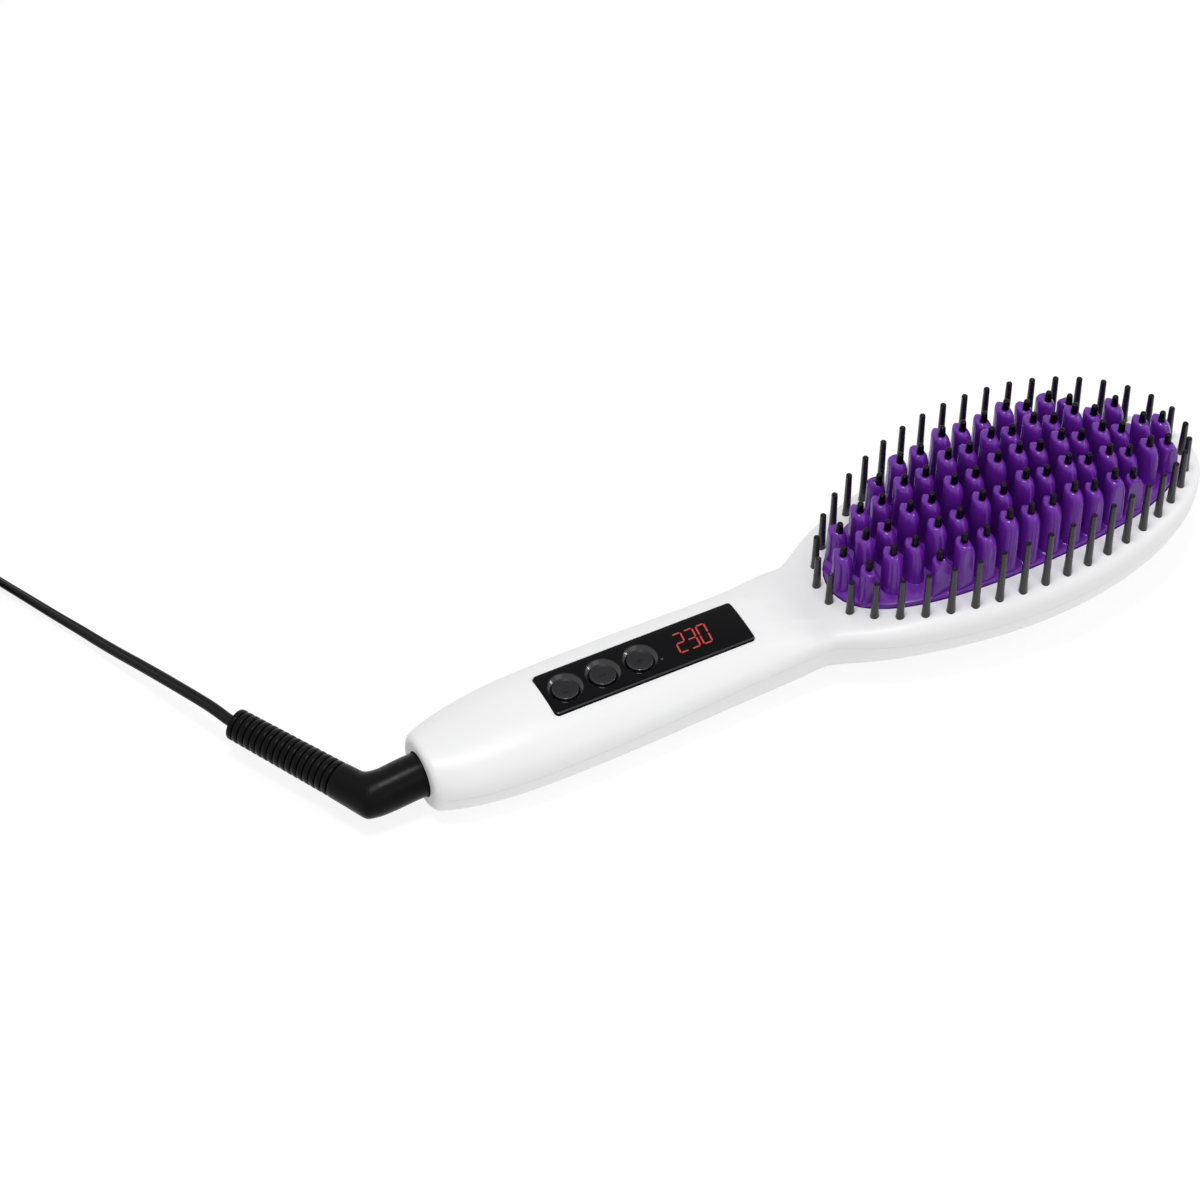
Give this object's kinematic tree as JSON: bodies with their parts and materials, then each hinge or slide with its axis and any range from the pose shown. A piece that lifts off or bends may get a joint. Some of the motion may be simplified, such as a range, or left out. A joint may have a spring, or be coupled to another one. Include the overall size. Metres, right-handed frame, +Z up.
{
  "type": "hair straightening brush",
  "caption": "Heated comb brush with an oval toothed plate, outer bristles, a handle with buttons and a display, and a cord on a swivel.",
  "frame": {"origin": "middle of the brush body's length and width, on the plane that its back rests on", "axes": "+X along the brush towards the head's tip, +Z up out of the face that carries the teeth, +Y to the left when looking along +X"},
  "size_m": [0.4118, 0.19, 0.051],
  "materials": {
    "white_plastic": "satin white moulding",
    "panel_gloss": "polished black",
    "button_plastic": "satin black",
    "purple_comb": "glossy purple coating; the metal under it is a guess",
    "bristle_nylon": "dark grey nylon",
    "boot_rubber": "satin black",
    "cord_jacket": "satin black",
    "tie_plastic": "matte black",
    "plug_plastic": "satin black",
    "pin_metal": "nickel plated",
    "black_plastic": "matte black",
    "brass": "bare brass",
    "ivory_plastic": "matte ivory",
    "steel": "zinc plated",
    "red_lens": "clear red",
    "board_green": "solder mask green",
    "ceramic": "matte ceramic",
    "mica": "mica sheet",
    "aluminium": "rolled",
    "white_wire": "silicone sleeve",
    "red_wire": "silicone sleeve"
  },
  "bodies": {
    "brush_body": {"top_shell": "white_plastic", "bottom_shell": "white_plastic", "control_panel": "panel_gloss", "comb_plate": "purple_comb", "bristle_ring": "bristle_nylon", "contact_strip_1": "brass", "contact_strip_2": "brass", "contact_block": "ivory_plastic", "swivel_bush": "ivory_plastic", "case_screw_1": "steel", "case_screw_2": "steel", "tact_switch_1": "black_plastic", "tact_switch_2": "black_plastic", "tact_switch_3": "black_plastic", "display_module": "black_plastic", "indicator_led": "red_lens", "control_board": "board_green", "heater_plate": "ceramic", "mica_sheet": "mica", "heater_clamp": "aluminium", "temperature_sensor": "ceramic", "thermal_fuse": "steel", "mains_lead_1": "white_wire", "mains_lead_2": "white_wire", "heater_lead_1": "red_wire", "heater_lead_2": "red_wire", "sensor_lead": "white_wire", "board_screw_1": "steel", "board_screw_2": "steel", "board_screw_3": "steel", "board_screw_4": "steel"},
    "power_button": {"power_button": "button_plastic"},
    "cooler_button": {"cooler_button": "button_plastic"},
    "hotter_button": {"hotter_button": "button_plastic"},
    "cord_swivel": {"swivel_core": "black_plastic", "slip_ring_1": "brass", "slip_ring_2": "brass", "cord_boot": "boot_rubber", "cord_free": "cord_jacket", "cord_coil": "cord_jacket", "cord_tie": "tie_plastic", "plug_body": "plug_plastic", "plug_pin_1": "pin_metal", "plug_pin_2": "pin_metal"}
  },
  "joints": [
    {"name": "power_button_press", "type": "slide", "parent": "brush_body", "child": "power_button", "axis": [0, 0, -1], "range_m": [0, 0.0005], "stiffness_N_per_m": 400},
    {"name": "cooler_button_press", "type": "slide", "parent": "brush_body", "child": "cooler_button", "axis": [0, 0, -1], "range_m": [0, 0.0005], "stiffness_N_per_m": 400},
    {"name": "hotter_button_press", "type": "slide", "parent": "brush_body", "child": "hotter_button", "axis": [0, 0, -1], "range_m": [0, 0.0005], "stiffness_N_per_m": 400},
    {"name": "cord_turn", "type": "hinge", "parent": "brush_body", "child": "cord_swivel", "pos_m": [-0.1205, 0, 0.01], "axis": [1, 0, 0], "continuous": true}
  ]
}
